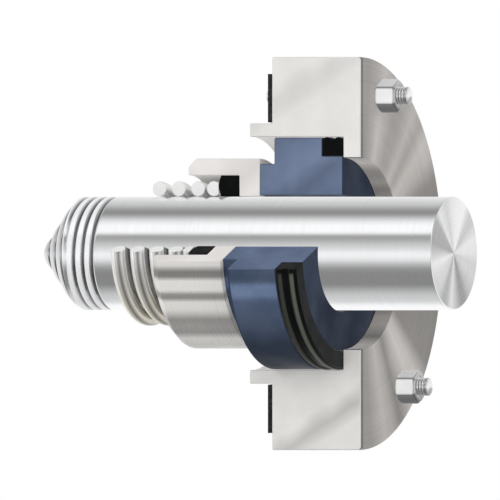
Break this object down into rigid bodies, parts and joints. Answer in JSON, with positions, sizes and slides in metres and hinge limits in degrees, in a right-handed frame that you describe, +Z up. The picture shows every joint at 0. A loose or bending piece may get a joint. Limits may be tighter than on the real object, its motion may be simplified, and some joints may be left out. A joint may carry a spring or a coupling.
{
  "type": "pusher mechanical seal",
  "caption": "Sectioned pusher seal: threaded shaft with a coil spring pressing a sliding steel ring onto a ceramic seat held in a half gland plate with studs and nuts.",
  "frame": {"origin": "on the shaft's axis, in the plane of the gland plate's mounting face", "axes": "+X along the shaft towards the drive end, +Y away from the sectioned side, +Z up"},
  "size_m": [0.1977, 0.1373, 0.173],
  "materials": {
    "shaft_steel": "ground and polished",
    "spring_steel": "bright drawn wire",
    "ring_steel": "fine turned, warm grey",
    "black_rubber": "moulded, satin black",
    "blue_ceramic": "ground, slate blue",
    "gland_steel": "face turned, warm grey",
    "gasket_sheet": "matt black sheet",
    "fastener_steel": "bright nickel"
  },
  "bodies": {
    "stationary": {"gland_plate": "gland_steel", "gland_gasket": "gasket_sheet", "seat": "blue_ceramic", "seat_ring": "black_rubber", "stud_upper": "fastener_steel", "stud_lower": "fastener_steel", "nut_upper": "fastener_steel", "nut_lower": "fastener_steel"},
    "shaft_unit": {"shaft": "shaft_steel", "spring": "spring_steel"},
    "pusher_unit": {"rotary_ring": "ring_steel", "shaft_ring": "black_rubber"}
  },
  "joints": [
    {"name": "shaft_turn", "type": "hinge", "parent": "stationary", "child": "shaft_unit", "pos_m": [0, 0, 0], "axis": [1, 0, 0], "continuous": true},
    {"name": "ring_slide", "type": "slide", "parent": "shaft_unit", "child": "pusher_unit", "axis": [-1, 0, 0], "range_m": [0, 0.003], "stiffness_N_per_m": 30600, "springref_m": -0.0035, "deforming": ["spring"]}
  ]
}
